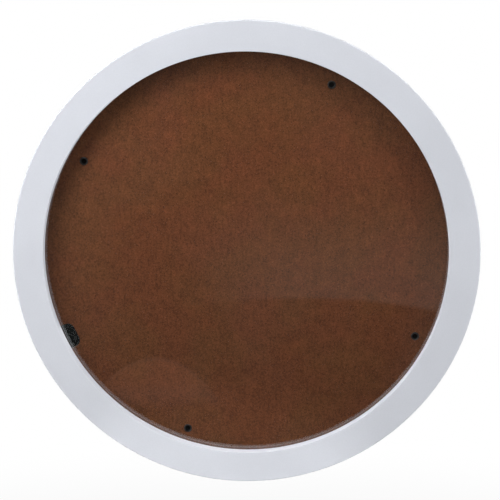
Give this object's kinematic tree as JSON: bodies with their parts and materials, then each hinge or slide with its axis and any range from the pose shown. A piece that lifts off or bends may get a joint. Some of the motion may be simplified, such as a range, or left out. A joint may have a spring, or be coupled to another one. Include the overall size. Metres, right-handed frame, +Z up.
{
  "type": "round photo frame",
  "caption": "Round wall photo frame: flat white ring, clear sheet and hardboard back, held by riveted turn buttons that swing into a groove in the rabbet.",
  "frame": {"origin": "ring axis, in the ring's flat back that rests on the wall", "axes": "+Y out of the back along the ring's axis, the front faces -Y, +Z up, +X to the right as seen from the front"},
  "size_m": [0.336, 0.019, 0.336],
  "materials": {
    "ring_paint": "satin white paint on fibreboard",
    "clear_sheet": "clear, polished",
    "hardboard": "smooth face of brown hardboard",
    "button_steel": "zinc plated, dull",
    "rivet_steel": "dark plated, dull",
    "hanger_steel": "zinc plated, dull",
    "nail_steel": "bright steel"
  },
  "bodies": {
    "frame": {"frame_ring": "ring_paint", "glazing": "clear_sheet", "sawtooth_hanger": "hanger_steel", "hanger_nail_1": "nail_steel", "hanger_nail_2": "nail_steel"},
    "back_panel": {"backing_board": "hardboard", "rivet_1": "rivet_steel", "rivet_2": "rivet_steel", "rivet_3": "rivet_steel", "rivet_4": "rivet_steel"},
    "button_1": {"turn_button_1": "button_steel"},
    "button_2": {"turn_button_2": "button_steel"},
    "button_3": {"turn_button_3": "button_steel"},
    "button_4": {"turn_button_4": "button_steel"}
  },
  "joints": [
    {"name": "panel_lift", "type": "slide", "parent": "frame", "child": "back_panel", "axis": [0, 1, 0], "range_m": [0, 0.02]},
    {"name": "button_1_turn", "type": "hinge", "parent": "back_panel", "child": "button_1", "pos_m": [0.06069, -0.0051, 0.12226], "axis": [0, 1, 0], "continuous": true},
    {"name": "button_2_turn", "type": "hinge", "parent": "back_panel", "child": "button_2", "pos_m": [-0.11677, -0.0051, 0.06715], "axis": [0, 1, 0], "continuous": true},
    {"name": "button_3_turn", "type": "hinge", "parent": "back_panel", "child": "button_3", "pos_m": [-0.04304, -0.0051, -0.13091], "axis": [0, 1, 0], "continuous": true},
    {"name": "button_4_turn", "type": "hinge", "parent": "back_panel", "child": "button_4", "pos_m": [0.12313, -0.0051, -0.06006], "axis": [0, 1, 0], "continuous": true}
  ]
}
